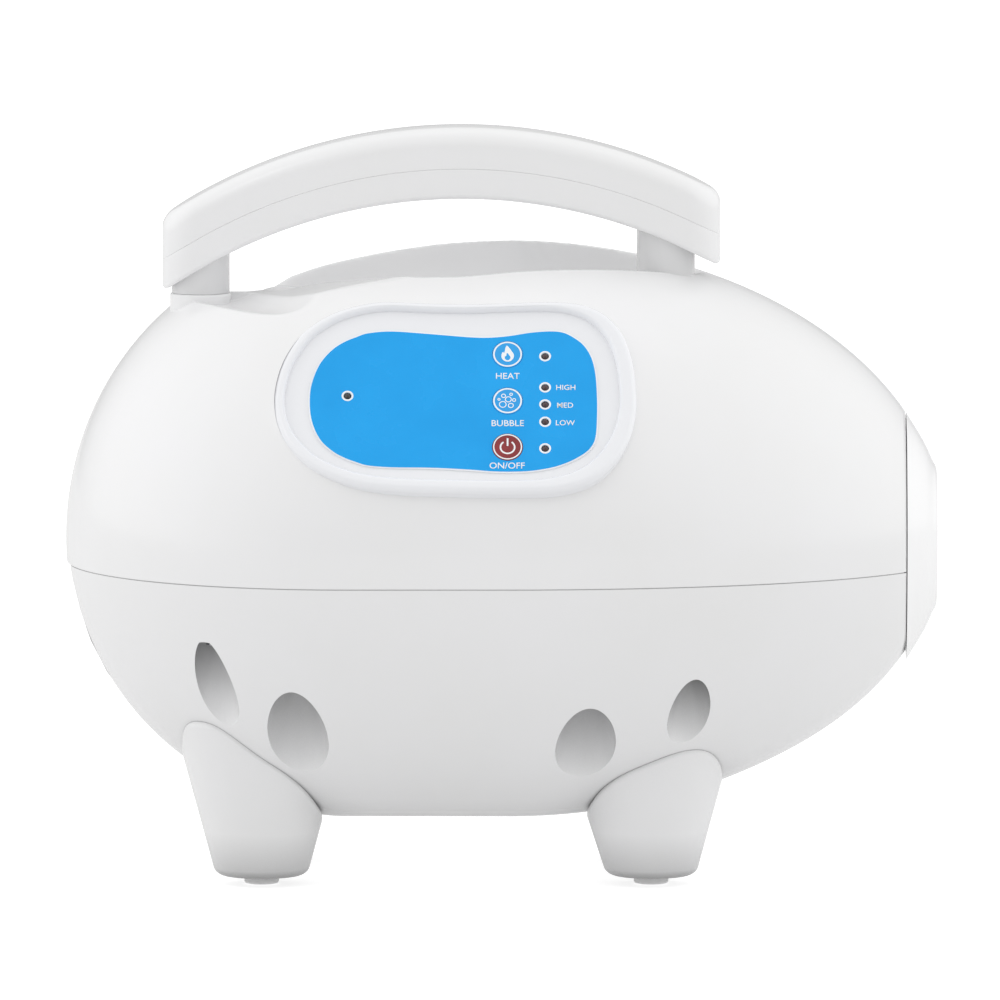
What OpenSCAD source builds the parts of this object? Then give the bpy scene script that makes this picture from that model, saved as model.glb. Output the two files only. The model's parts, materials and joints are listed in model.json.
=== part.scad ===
// Air blower and heater unit for a bubble foot bath: egg-shaped housing, carry handle,
// tilted control panel, four cone legs and a round hose socket in the nose.
// Millimetres, +X towards the hose socket, -Y towards the panel, +Z up.
// The origin is on the floor, under the middle of the housing.

/* [Body] */
// height of the long axis of the egg above the floor
axis_z = 134.7; // [130:0.1:140]
// greatest radius of the egg
body_r = 118.4; // [116:0.1:122]
// length of the blunt tail half
tail_len = 112; // [108:0.5:116]
// length of the pointed nose half
nose_len = 175.2; // [172:0.1:178]
// thickness of the moulded shells
wall = 2.6; // [2:0.1:3]
// height of the parting line between the two shells
seam_z = 125; // [122:0.5:128]

/* [Handle] */
// width of the grip across the unit
grip_w = 30; // [26:1:34]
// top of the arched grip
grip_top = 300.5; // [298:0.5:304]
// radius of the two round posts
post_r = 11.6; // [10:0.1:12]

/* [Outlet] */
// radius of the socket that takes the air hose
hose_r = 19; // [17:0.5:20]
// radius of the flat face round the socket
face_r = 27; // [25:0.5:30]

/* [Control panel] */
// width of the panel surround
panel_w = 144; // [138:1:148]
// height of the panel surround
panel_h = 87.4; // [84:0.2:90]
// radius of a key cap
key_r = 6.1; // [5:0.1:6.6]
// how far a key goes down
key_travel = 0.5; // [0.3:0.1:0.5]

/* [Legs] */
// radius of a leg at its foot
leg_r = 18.2; // [16:0.2:20]
// height of the foot above the floor
pad_h = 3.2; // [2:0.2:4]
// half angle of the leg cone
leg_angle = 16.8; // [16:0.1:20]

/* [Hidden] */
$fn = 64;
tail_x = -62.2;
nose_x = 2.6;
nose_tip = 174.2;
ring_x = 161.4;
seam_gap = 0.4;
big = 400;
gap = 0.05;

// top of the body: ridge, flat at the left post and finger trough
ridge_x = 2.6;
ridge_a = 178;
flat_z = 233.6;
dish_at = [-91, -67];
dish_turn = 13.6;
dish_r = 36;
dish_floor = 229.5;
trough_y = -11;
trough_z = 257;
trough_r = 34;
trough_x0 = -92;
trough_x1 = 62;
post_y = -12;
post_left = -120.1;
post_right = 65.6;
post_right_z = 242.8;

// grip arcs, all centred on x = grip_x
grip_x = -16;
grip_x0 = -135.4;
grip_x1 = 87.4;
top_r = 215;
part_r = 211;
under_r = 207;
part_z = grip_top - 16.2;
under_z = grip_top - 28.3;
grip_wall = 2.4;

// screw pockets in the lower shell: [x, radius, distance from the middle]
wells = [[-113.4, 9, 90.9], [-80.6, 12.2, 92.4], [33.6, 12.2, 88.5], [74.1, 9, 87]];
well_z = 103;

// legs
legs_x = [-96.2, 60.2];
leg_y = 45;
leg_lean = 1.2;

// control panel, in its own tilted frame
panel_tilt = 55;
panel_x = -18.4;
panel_y = -89.2;
panel_z = 198.8;
panel_drop = -1.96;
label_top = 3.5;
label_t = 0.8;
lip_top = 5.3;
deck_t = 2.5;
keys_x = 20.8;
keys_y = [19.7, -1.5, -22.5];
leds_x = 35.7;
leds_y = [18.9, 4.7, -3.1, -11, -23.1];
led_r = 1.5;
ir_x = -42.7;
ir_y = 0.8;
ir_r = 1.5;

// air path on the long axis
shaft_r = 4;
drum_r = 62;
drum_x0 = -95;
drum_x1 = -52;
can_r = 45;
can_x1 = 30;
fan_r = 56;
shroud_r = 52;
duct_r = 30;
stem_r = 2;

// intake cover in the tail
cover_tilt = 23.5;
cover_z = 86;
cover_w = 33;
cover_h = 72;

/* [View] */
// which piece to draw

// ---------- shared shapes ----------

// radius of the egg at x, drawn in by i all round
function egg_r(x, i) =
    x < tail_x ? (body_r - i) * sqrt(max(0, 1 - pow((x - tail_x) / (tail_len - i), 2)))
    : x < nose_x ? body_r - i
    : (body_r - i) * sqrt(max(0, 1 - pow((x - nose_x) / (nose_len - i), 2)));

// how far the belly reaches down, as a share of the radius at x
function belly(x) =
    x < tail_x ? 0.94 - 0.034 * min(1, (tail_x - x) / 60)
    : x < 100 ? 0.94
    : min(1, 0.94 + 0.06 * pow((x - 100) / 61.4, 2));

// outline of the egg from tail tip to nose tip as [x, radius]
function egg_line(i) = concat(
    [for (k = [0 : 11]) [tail_x - (tail_len - i) * cos(k * 7.5), (body_r - i) * sin(k * 7.5)]],
    [[tail_x, body_r - i]],
    [for (k = [0 : 13]) [nose_x + (nose_len - i) * sin(k * 6), (body_r - i) * cos(k * 6)]],
    [[nose_x + nose_len - i, 0]]
);

module egg(i) {
    translate([0, 0, axis_z])
        rotate([0, 90, 0])
            rotate_extrude()
                polygon([for (p = egg_line(i)) [p[1], p[0]]]);
}

// everything above the belly line, drawn in by i
module belly_block(i) {
    translate([0, big / 2, 0])
        rotate([90, 0, 0])
            linear_extrude(height = big)
                polygon(concat(
                    [for (p = egg_line(i)) [p[0], axis_z - belly(p[0]) * p[1]]],
                    [[nose_tip + 20, axis_z], [nose_tip + 20, 400], [-220, 400], [-220, axis_z]]
                ));
}

module lower_body(i) {
    intersection() {
        egg(i);
        belly_block(i);
    }
}

// what is cut from the top of the egg; i is the wall left under it
module top_cut(i) {
    translate([0, big / 2, 0])
        rotate([90, 0, 0])
            linear_extrude(height = big)
                polygon(concat(
                    [[-130, 300], [-130, flat_z - i]],
                    [for (x = [-95 : 12 : -11])
                        [x, axis_z - i + body_r * sqrt(1 - pow((x - ridge_x) / ridge_a, 2))]],
                    [[-5, axis_z - i + body_r - 0.2], [-5, 300]]
                ));
    difference() {
        translate([trough_x0 - i, trough_y, trough_z])
            rotate([0, 90, 0])
                cylinder(h = trough_x1 - trough_x0 + 2 * i, r = trough_r + i);
        translate([post_right, post_y, 190])
            cylinder(h = 100, r = post_r + 2.4 - i);
    }
    // shallow dish across the top, past the left post
    translate([dish_at[0], dish_at[1], dish_floor + dish_r])
        rotate([0, 0, dish_turn])
            rotate([90, 0, 0])
                cylinder(h = 320, r = dish_r + i, center = true);
}

module rod_x(x, r, len) {
    translate([x, 0, axis_z])
        rotate([0, 90, 0])
            cylinder(h = len, r = r);
}

module tube_x(x, r_out, r_in, len) {
    difference() {
        rod_x(x, r_out, len);
        rod_x(x - 1, r_in, len + 2);
    }
}

// a shape turned round the long axis from points [x, radius]
module turned_x(points) {
    translate([0, 0, axis_z])
        rotate([0, 90, 0])
            rotate_extrude()
                polygon([for (p = points) [p[1], p[0]]]);
}

// rounded plate centred on x and y
module plate(w, h, r, z0, z1) {
    translate([-w / 2 + r, -h / 2, z0]) cube([w - 2 * r, h, z1 - z0]);
    translate([-w / 2, -h / 2 + r, z0]) cube([w, h - 2 * r, z1 - z0]);
    for (sx = [-1, 1])
        for (sy = [-1, 1])
            translate([sx * (w / 2 - r), sy * (h / 2 - r), z0])
                cylinder(h = z1 - z0, r = r);
}

module on_panel() {
    translate([panel_x, panel_y, panel_z])
        rotate([panel_tilt, 0, 0])
            translate([0, panel_drop, 0])
                children();
}

// a flexible lead through a list of points
module lead(points, r) {
    for (k = [0 : len(points) - 2]) {
        a = points[k];
        d = points[k + 1] - a;
        flat = sqrt(d[0] * d[0] + d[1] * d[1]);
        translate(a)
            rotate([0, atan2(flat, d[2]), atan2(d[1], d[0])])
                cylinder(h = norm(d), r = r);
        if (k > 0)
            translate(a) sphere(r = r + 0.25);
    }
}

module both_sides() {
    children();
    mirror([0, 1, 0]) children();
}

// ---------- housing ----------

module upper_body(i) {
    difference() {
        egg(i);
        top_cut(i);
    }
    intersection() {
        translate([post_left, post_y, 190])
            cylinder(h = flat_z - 190 - i, r = post_r + 0.6 - i);
        translate([-200, -200, 150]) cube([400, 400, 150]);
    }
}

// screw bosses hanging off the side wall, each on its own rib
module shell_bosses() {
    z0 = seam_z + seam_gap / 2;
    both_sides()
        for (w = wells)
            intersection() {
                union() {
                    translate([w[0], w[2], z0]) cylinder(h = 22, r = 5);
                    translate([w[0] - 1.5, w[2], z0 + 4.5]) cube([3, 40, 14]);
                }
                egg(wall / 2);
            }
}

module upper_shell() {
    color([0.95, 0.95, 0.94])
    difference() {
        union() {
            difference() {
                upper_body(0);
                upper_body(wall);
            }
            shell_bosses();
        }
        translate([-big / 2, -big / 2, seam_z + seam_gap / 2 - big])
            cube([big, big, big]);
        translate([ring_x, -big / 2, 0]) cube([60, big, big]);
        on_panel() plate(panel_w + 0.5, panel_h + 0.5, 41, -14, 40);
        both_sides()
            for (w = wells)
                translate([w[0], w[2], 120]) cylinder(h = 24, r = 2.05);
        for (x = [post_left, post_right])
            translate([x, post_y, 210]) cylinder(h = 60, r = 3.3);
    }
}

module well_tubes() {
    both_sides()
        for (w = wells)
            translate([w[0], w[2], 30]) cylinder(h = well_z + 2.6 - 30, r = w[1] + 2.2);
}

module floor_posts() {
    for (sy = [-1, 1]) {
        for (x = [-32, 20])
            translate([x, sy * 34, 20]) cylinder(h = 42, r = 5);
        for (x = [-55, 45])
            translate([x, sy * 21, 20]) cylinder(h = 24, r = 3.5);
        for (x = legs_x)
            translate([x, sy * leg_y, 20]) cylinder(h = 30, r = 5);
    }
}

module inlet_box() {
    translate([-38, 84, 72]) cube([36, 60, 26]);
}

// lip of the lower shell that the upper shell slips over
module tongue() {
    z0 = seam_z - seam_gap / 2;
    intersection() {
        difference() {
            egg(wall - 0.4);
            egg(wall + 2);
        }
        translate([-134, -big / 2, z0 - 8]) cube([284, big, 8]);
    }
    intersection() {
        difference() {
            egg(wall + 0.15);
            egg(wall + 2);
        }
        translate([-134, -big / 2, z0 - 1]) cube([284, big, 5]);
    }
}

module lower_shell() {
    color([0.9, 0.9, 0.89])
    difference() {
        union() {
            intersection() {
                difference() {
                    lower_body(0);
                    difference() {
                        lower_body(wall);
                        well_tubes();
                        floor_posts();
                        inlet_box();
                    }
                }
                translate([-big / 2, -big / 2, seam_z - seam_gap / 2 - big])
                    cube([big, big, big]);
            }
            tongue();
        }
        translate([ring_x, -big / 2, 0]) cube([60, big, big]);
        both_sides()
            for (w = wells) {
                translate([w[0], w[2], 0]) cylinder(h = well_z, r = w[1]);
                translate([w[0], w[2], 0]) cylinder(h = 110, r = 2.3);
            }
        for (sy = [-1, 1])
            for (x = legs_x)
                translate([x, sy * leg_y, 20]) cylinder(h = 26, r = 2.05);
        translate([-35.6, 95, 74.4]) cube([31.2, 60, 21.2]);
        translate([-32, 80, 77]) cube([24, 20, 16]);
        cover_strip(cover_w + 0.6, cover_h + 0.6);
    }
}

module outlet_ring() {
    color([0.97, 0.97, 0.96])
    turned_x([
        [ring_x + 0.4, 49.2], [164.2, 45.6], [167, 41.2], [169.8, 36.2], [172.4, 30.9],
        [173.6, 28.2], [nose_tip, face_r], [nose_tip, hose_r], [144.5, hose_r],
        [144.5, hose_r - 0.6], [142.4, hose_r - 0.6], [142.4, hose_r - 3], [140, hose_r - 3],
        [140, hose_r + 2.4], [171.2, hose_r + 2.4], [164.6, 39], [163, 40], [155, 40],
        [155, 42.4], [ring_x + 0.4, 42.4]
    ]);
}

module hose_seal() {
    color([0.15, 0.15, 0.15])
    tube_x(142.4 + gap, hose_r - 0.6 - gap, hose_r - 2.9, 2);
}

module leg(x, side) {
    lean = x < -20 ? leg_lean : -leg_lean;
    difference() {
        translate([x, side * leg_y, pad_h])
            rotate([0, lean, 0])
                translate([0, 0, -4])
                    cylinder(h = 70, r1 = leg_r - 4 * tan(leg_angle), r2 = leg_r + 66 * tan(leg_angle));
        translate([x - 60, side * leg_y - 60, pad_h - 20]) cube([120, 120, 20]);
        difference() {
            translate([x, side * leg_y, pad_h])
                rotate([0, lean, 0])
                    translate([0, 0, 2.6])
                        cylinder(h = 70, r1 = leg_r - 2, r2 = leg_r - 2 + 70 * tan(leg_angle));
            translate([x, side * leg_y, 0]) cylinder(h = 60, r = 6.6);
        }
        lower_body(-0.1);
        translate([x - 80, side * leg_y - 80, 61]) cube([160, 160, 40]);
        translate([x, side * leg_y, 0]) cylinder(h = 14, r = 4.6);
        translate([x, side * leg_y, 0]) cylinder(h = 60, r = 2.3);
    }
}

module legs() {
    color([0.88, 0.88, 0.88])
    for (x = legs_x)
        for (side = [-1, 1])
            leg(x, side);
}

module leg_pads() {
    color([0.2, 0.2, 0.2])
    for (x = legs_x)
        for (side = [-1, 1])
            translate([x, side * leg_y, 0]) {
                cylinder(h = pad_h - gap, r = 7);
                cylinder(h = pad_h + 4, r = 4.5);
            }
}

// pan-head screw pointing up, with a slot; z is under the head
module screw_up(x, y, z, len, r, head_r) {
    translate([x, y, z]) {
        cylinder(h = len, r = r);
        difference() {
            translate([0, 0, -2.4]) cylinder(h = 2.4, r = head_r);
            translate([-head_r, -0.5, -3]) cube([2 * head_r, 1, 1.6]);
            translate([-0.5, -head_r, -3]) cube([1, 2 * head_r, 1.6]);
        }
    }
}

module leg_screws() {
    color([0.7, 0.7, 0.72])
    for (x = legs_x)
        for (side = [-1, 1])
            screw_up(x, side * leg_y, 14 - gap, 28, 2, 4);
}

module shell_screws() {
    color([0.7, 0.7, 0.72])
    both_sides()
        for (w = wells)
            screw_up(w[0], w[2], well_z - gap, 40, 2, 4);
}

// ---------- handle ----------

module disc_y(r, z, w) {
    translate([grip_x, post_y + w / 2, z - r])
        rotate([90, 0, 0])
            cylinder(h = w, r = r, $fn = 180);
}

module grip_plan(w, inset) {
    translate([(grip_x0 + grip_x1) / 2, post_y, 0])
        plate(grip_x1 - grip_x0 - 2 * inset, w - 2 * inset, 9 - inset, 225, 310);
}

module grip_upper() {
    color([0.96, 0.96, 0.95])
    difference() {
        intersection() {
            grip_plan(grip_w, 0);
            disc_y(top_r, grip_top, grip_w + 10);
        }
        disc_y(part_r, part_z + 0.15, grip_w + 20);
        intersection() {
            grip_plan(grip_w, grip_wall);
            disc_y(top_r - grip_wall, grip_top - grip_wall, grip_w + 10);
        }
    }
}

module grip_lower() {
    color([0.94, 0.94, 0.93])
    difference() {
        intersection() {
            grip_plan(grip_w, 0);
            disc_y(part_r, part_z - 0.15, grip_w + 10);
        }
        disc_y(under_r, under_z, grip_w + 20);
        difference() {
            grip_plan(grip_w, grip_wall);
            disc_y(under_r + grip_wall, under_z + grip_wall, grip_w + 20);
            for (x = [post_left, post_right])
                translate([x, post_y, 230]) cylinder(h = 80, r = 5.5);
        }
        for (x = [post_left, post_right])
            translate([x, post_y, 230]) cylinder(h = 80, r = 2.1);
    }
}

module post(x, z) {
    difference() {
        translate([x, post_y, z + gap]) cylinder(h = 280 - z, r = post_r);
        translate([x, post_y, z - 10]) cylinder(h = 100, r = 2.6);
        difference() {
            translate([x - 20, post_y - 20, z]) cube([40, 40, 60]);
            disc_y(under_r, under_z - gap, grip_w + 20);
        }
    }
}

module post_left() {
    color([0.86, 0.86, 0.86]) post(post_left, flat_z);
}

module post_right() {
    color([0.86, 0.86, 0.86])
    difference() {
        post(post_right, 236);
        difference() {
            egg(-0.1);
            translate([-big, -big, 0]) cube([big + 20, 2 * big, big]);
        }
    }
}

module handle_screws() {
    color([0.7, 0.7, 0.72]) {
        screw_up(post_left, post_y, flat_z - wall - gap, 21, 2, 4.5);
        screw_up(post_right, post_y, 240 - gap, 24, 2, 4.5);
    }
}

// ---------- control panel ----------

module panel_holes(z0, z1, extra) {
    for (y = keys_y)
        translate([keys_x, y, z0]) cylinder(h = z1 - z0, r = key_r + extra);
    for (y = leds_y)
        translate([leds_x, y, z0]) cylinder(h = z1 - z0, r = led_r + extra);
    translate([ir_x, ir_y, z0]) cylinder(h = z1 - z0, r = ir_r + extra);
}

module panel_bezel() {
    deck_z = label_top - label_t;
    color([0.92, 0.93, 0.95])
    on_panel()
        difference() {
            plate(panel_w, panel_h, 41, -8, lip_top);
            translate([-1.2, 1, 0]) plate(132.4, 77.4, 36, deck_z, lip_top + 1);
            plate(panel_w - 5, panel_h - 5, 38.5, -9, deck_z - deck_t);
            panel_holes(-9, lip_top, 0.08);
        }
}

module panel_label() {
    color([0.11, 0.65, 0.95])
    on_panel()
        difference() {
            translate([-0.7, -1.7, 0])
                plate(115, 64.7, 24, label_top - label_t + 0.02, label_top);
            panel_holes(0, 5, 0.08);
        }
}

module control_board() {
    color([0.1, 0.4, 0.2])
    on_panel() plate(110, 60, 4, -6.6, -5);
}

module tact_switches() {
    color([0.2, 0.2, 0.2])
    on_panel()
        for (y = keys_y)
            translate([keys_x - 3, y - 3, -5 + gap]) cube([6, 6, 3.3]);
}

module indicator_leds() {
    color([0.3, 0.08, 0.08])
    on_panel()
        for (y = leds_y)
            translate([leds_x, y, -5 + gap]) cylinder(h = 8.3, r = led_r);
}

module ir_window() {
    color([0.03, 0.03, 0.04])
    on_panel()
        translate([ir_x, ir_y, -5 + gap]) cylinder(h = 8.3, r = ir_r);
}

module key(y) {
    on_panel()
        translate([keys_x, y, 0]) {
            translate([0, 0, 1]) cylinder(h = 2.7, r = key_r);
            translate([0, 0, -1 - 0.1]) cylinder(h = 2.2, r = 2);
        }
}

module heat_key() {
    color([0.1, 0.62, 0.92]) key(keys_y[0]);
}

module bubble_key() {
    color([0.1, 0.62, 0.92]) key(keys_y[1]);
}

module power_key() {
    color([0.55, 0.1, 0.12]) key(keys_y[2]);
}

module panel_cable() {
    color([0.6, 0.6, 0.62])
    lead([[-62, -82, 183], [-62, -90, 140], [-62, -74, 80], [-58, -30, 54], [-52, -18, 48.2]], 1.6);
}

// ---------- electrics in the belly ----------

module power_board() {
    color([0.12, 0.42, 0.22])
    translate([-60, -26, 44 + gap]) cube([110, 52, 1.6]);
}

module power_parts() {
    top = 45.7;
    color([0.25, 0.25, 0.28]) {
        translate([-22, -14, top]) cube([28, 26, 22]);
        translate([-56, -4, top]) cube([16, 20, 15]);
        translate([10, -20, top]) cube([8, 34, 12]);
        translate([30, -16, top]) cube([12, 32, 10]);
        translate([-46, -14, top]) cylinder(h = 14, r = 5);
        translate([-24, 18, top]) cube([12, 7, 8]);
    }
}

module mains_inlet() {
    color([0.08, 0.08, 0.08]) {
        difference() {
            translate([-31.8, 80, 77.2]) cube([23.6, 14.9, 15.6]);
            translate([-29, 85, 79.5]) cube([18, 20, 11]);
        }
        difference() {
            translate([-34.8, 95 + gap, 75.2]) cube([29.6, 2, 19.6]);
            translate([-29, 85, 79.5]) cube([18, 20, 11]);
        }
        translate([-31.8, 94.5, 77.2]) cube([2.6, 1, 15.6]);
        translate([-10.8, 94.5, 77.2]) cube([2.6, 1, 15.6]);
        for (x = [-24, -16])
            translate([x, 95, 85])
                rotate([90, 0, 0])
                    cylinder(h = 22, r = 1.2);
    }
}

module mains_leads() {
    color([0.3, 0.3, 0.32])
    for (x = [-24, -16])
        lead([[x, 71, 85], [x, 60, 66], [x, 40, 57], [x, 24, 55.6]], 1.4);
}

module motor_leads() {
    color([0.55, 0.1, 0.1])
    for (y = [-3, 3])
        lead([[38, y, 57.4], [38, y, 91]], 1.2);
}

module heater_leads() {
    color([0.75, 0.75, 0.78])
    for (y = [-11, 11])
        lead([[34, y, 57.4], [60, y, 66], [72, y, 88], [72, y, 104]], 1.2);
}

// ---------- intake in the tail ----------

module cover_strip(w, h) {
    translate([-152, 0, cover_z])
        rotate([0, -cover_tilt, 0])
            translate([-60, -w / 2, -h / 2])
                cube([90, w, h]);
}

module intake_cover() {
    color([0.9, 0.9, 0.89])
    difference() {
        intersection() {
            difference() {
                lower_body(1.7);
                lower_body(4);
            }
            cover_strip(cover_w, cover_h);
            translate([-big, -big, 0]) cube([big - 60, 2 * big, big]);
        }
        for (k = [-3 : 3])
            translate([-152, 0, cover_z])
                rotate([0, -cover_tilt, 0])
                    translate([-60, -12, k * 8 - 1.6])
                        cube([90, 24, 3.2]);
    }
}

module filter_frame() {
    color([0.3, 0.3, 0.32])
    difference() {
        intersection() {
            difference() {
                lower_body(4.1);
                lower_body(6.5);
            }
            cover_strip(cover_w + 8, cover_h + 4);
            translate([-big, -big, 0]) cube([big - 60, 2 * big, big]);
        }
        cover_strip(cover_w - 8, cover_h - 12);
    }
}

module filter_foam() {
    color([0.12, 0.12, 0.12])
    intersection() {
        difference() {
            lower_body(6.6);
            lower_body(14);
        }
        cover_strip(cover_w + 4, cover_h);
        translate([-big, -big, 0]) cube([big - 60, 2 * big, big]);
    }
}

// ---------- blower ----------

module fan_drum() {
    color([0.75, 0.76, 0.78])
    difference() {
        rod_x(drum_x0, drum_r, drum_x1 - drum_x0);
        rod_x(drum_x0 + 1.6, drum_r - 1.6, drum_x1 - drum_x0);
        rod_x(drum_x0 - 1, 22, 5);
    }
}

module stage_plate() {
    color([0.7, 0.71, 0.73])
    difference() {
        union() {
            tube_x(-75.4, drum_r - 1.6 - gap, 20, 2);
            for (a = [0 : 30 : 359])
                translate([-73.5, 0, axis_z])
                    rotate([a, 0, 0])
                        translate([0, 26, -0.6])
                            cube([2.4, 30, 1.2]);
        }
        rod_x(-80, 20, 20);
    }
}

module impeller(x) {
    tube_x(x, fan_r, shaft_r + 0.02, 1.2);
    tube_x(x - 9.2, fan_r, 21, 1.2);
    tube_x(x - 10, 9, shaft_r + 0.02, 10.5);
    for (a = [0 : 40 : 359])
        translate([x - 8.4, 0, axis_z])
            rotate([a, 0, 0])
                translate([0, 22, 8])
                    rotate([-18, 0, 0])
                        cube([8.8, 28, 1.2]);
}

module impeller_front() {
    color([0.8, 0.81, 0.83]) impeller(-79);
}

module impeller_rear() {
    color([0.8, 0.81, 0.83]) impeller(-58.6);
}

module motor_can() {
    color([0.6, 0.61, 0.63])
    difference() {
        union() {
            tube_x(drum_x1 + gap, drum_r, shaft_r + 3, 2.6);
            tube_x(drum_x1 + 1, can_r, can_r - 1.5, can_x1 - drum_x1 - 1);
            tube_x(can_x1 - 1.6, can_r, shaft_r + 0.6, 1.6);
            tube_x(drum_x1 + 1, 14, 11 + gap, 10);
            tube_x(22, 14, 11 + gap, 7);
        }
        for (a = [0 : 60 : 359])
            translate([0, 0, axis_z])
                rotate([a, 0, 0]) {
                    translate([can_x1 - 4, 28, 0]) rotate([0, 90, 0]) cylinder(h = 8, r = 7);
                    translate([drum_x1 - 1, 32, 0]) rotate([0, 90, 0]) cylinder(h = 6, r = 8);
                }
    }
}

module stator_core() {
    color([0.45, 0.45, 0.48]) {
        tube_x(-32, can_r - 1.5 - gap, 38, 40);
        intersection() {
            tube_x(-32, 39, 23.2, 40);
            translate([-40, -12, 0]) cube([60, 24, 300]);
        }
    }
}

module field_coils() {
    color([0.72, 0.38, 0.16])
    for (s = [0, 180])
        translate([0, 0, axis_z])
            rotate([s, 0, 0])
                difference() {
                    translate([-37, -18, 26.5]) cube([50, 36, 6.5]);
                    translate([-32.3, -12.3, 20]) cube([40.6, 24.6, 20]);
                }
}

module bearing(x) {
    tube_x(x, 11, 9, 7);
    tube_x(x, 6, shaft_r + gap, 7);
    tube_x(x + 1.5, 9.5, 5.5, 4);
}

module bearing_front() {
    color([0.7, 0.7, 0.72]) bearing(-48.9);
}

module bearing_rear() {
    color([0.7, 0.7, 0.72]) bearing(21.3);
}

module brush_holders() {
    color([0.75, 0.6, 0.3])
    both_sides()
        difference() {
            translate([10.5, 13, axis_z - 6]) cube([9, 28, 12]);
            translate([12, 12, axis_z - 4.2]) cube([6, 27, 8.4]);
        }
}

module carbon_brushes() {
    color([0.1, 0.1, 0.1])
    both_sides()
        translate([12.1, 11.2, axis_z - 4.1]) cube([5.8, 20, 8.2]);
}

module motor_shaft() {
    color([0.8, 0.8, 0.82]) rod_x(-92, shaft_r, 124);
}

module armature() {
    color([0.5, 0.4, 0.35])
    difference() {
        union() {
            tube_x(-30, 22, shaft_r + 0.02, 35);
            tube_x(-36, 16, shaft_r + 0.02, 42);
        }
        for (a = [0 : 30 : 359])
            translate([-31, 0, axis_z])
                rotate([a, 0, 0])
                    translate([0, -1, 18.5])
                        cube([37, 2, 6]);
    }
}

module commutator() {
    color([0.75, 0.42, 0.2])
    tube_x(8, 11, shaft_r + 0.02, 12);
}

module motor_shroud() {
    color([0.85, 0.86, 0.87])
    turned_x([
        [-49.2, drum_r], [-46, drum_r], [-40, shroud_r], [can_x1 + 2, shroud_r],
        [44, duct_r + 2], [50, duct_r + 2], [50, duct_r + 0.2], [43.2, duct_r + 0.2],
        [can_x1 + 1.2, shroud_r - 1.8], [-40.8, shroud_r - 1.8], [-46.8, drum_r - 2.4],
        [-49.2, drum_r - 2.4]
    ]);
}

module rubber_rings() {
    color([0.12, 0.12, 0.12])
    for (x = [-37, 15])
        tube_x(x, shroud_r + 3, shroud_r + gap, 10);
}

module motor_cradle() {
    color([0.85, 0.85, 0.84])
    for (x = [-38, 14])
        difference() {
            translate([x, -42, 62 + gap]) cube([12, 84, axis_z - 62 - 10]);
            rod_x(x - 1, shroud_r + 3 + gap, 14);
            translate([x - 1, -24, 60]) cube([14, 48, 14]);
        }
}

// ---------- heater and valve ----------

module heater_tube() {
    color([0.7, 0.7, 0.72])
    tube_x(43.4, duct_r, duct_r - 1.4, 70);
}

module heater_board() {
    color([0.8, 0.72, 0.5])
    difference() {
        union() {
            translate([48, -27, axis_z - 0.6]) cube([56, 54, 1.2]);
            translate([48, -0.6, axis_z - 27]) cube([56, 1.2, 54]);
        }
        for (k = [0 : 7])
            tube_x(52.9 + k * 6, 23.2, 20.8, 2.7);
    }
}

module heater_coil() {
    color([0.6, 0.5, 0.45])
    for (k = [0 : 7])
        tube_x(53 + k * 6, 23, 21, 2.5);
}

module thermal_cutout() {
    color([0.15, 0.15, 0.16])
    translate([82, 0, axis_z + duct_r + gap]) {
        translate([-9, -6, 0]) cube([18, 12, 2]);
        translate([0, 0, 1]) cylinder(h = 7, r = 6);
    }
}

module valve_body() {
    color([0.9, 0.9, 0.9]) {
        turned_x([
            [106, duct_r + gap], [106, duct_r + 2], [128, duct_r + 2], [137, hose_r + 4.8],
            [146, hose_r + 4.8], [146, hose_r + 2.6], [136, hose_r + 2.6], [127, duct_r],
            [118, duct_r], [118, 12], [116, 12], [116, duct_r + gap]
        ]);
        difference() {
            union() {
                tube_x(128, 5, stem_r + gap, 6);
                translate([129, -24, axis_z - 1]) cube([3, 48, 2]);
            }
            rod_x(120, stem_r + gap, 20);
        }
    }
}

module valve_disc() {
    color([0.25, 0.25, 0.27]) {
        rod_x(118 + gap, 15, 2);
        rod_x(118 + gap, stem_r, 14);
    }
}

module valve_spring() {
    color([0.75, 0.75, 0.77]) {
        for (k = [0 : 3])
            tube_x(120.1 + k * 2.2, 4.4, 3.4, 1);
        for (k = [0 : 2])
            translate([120.9 + k * 2.2, k % 2 == 0 ? 3.4 : -4.4, axis_z - 0.5])
                cube([1.6, 1, 1]);
    }
}

upper_shell();
lower_shell();
outlet_ring();
hose_seal();
legs();
leg_pads();
leg_screws();
shell_screws();
grip_upper();
grip_lower();
post_left();
post_right();
handle_screws();
panel_bezel();
panel_label();
control_board();
tact_switches();
indicator_leds();
ir_window();
heat_key();
bubble_key();
power_key();
panel_cable();
power_board();
power_parts();
mains_inlet();
mains_leads();
motor_leads();
heater_leads();
intake_cover();
filter_frame();
filter_foam();
fan_drum();
stage_plate();
impeller_front();
impeller_rear();
motor_can();
stator_core();
field_coils();
bearing_front();
bearing_rear();
brush_holders();
carbon_brushes();
motor_shaft();
armature();
commutator();
motor_shroud();
rubber_rings();
motor_cradle();
heater_tube();
heater_board();
heater_coil();
thermal_cutout();
valve_body();
valve_disc();
valve_spring();
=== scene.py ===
"""Looks of the bubble foot bath blower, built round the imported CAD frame.

Lengths in the helpers are millimetres and are turned into metres when a mesh is made.
"""

import json
import math

import bmesh
import bpy
import numpy as np
from mathutils import Matrix, Vector


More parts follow.
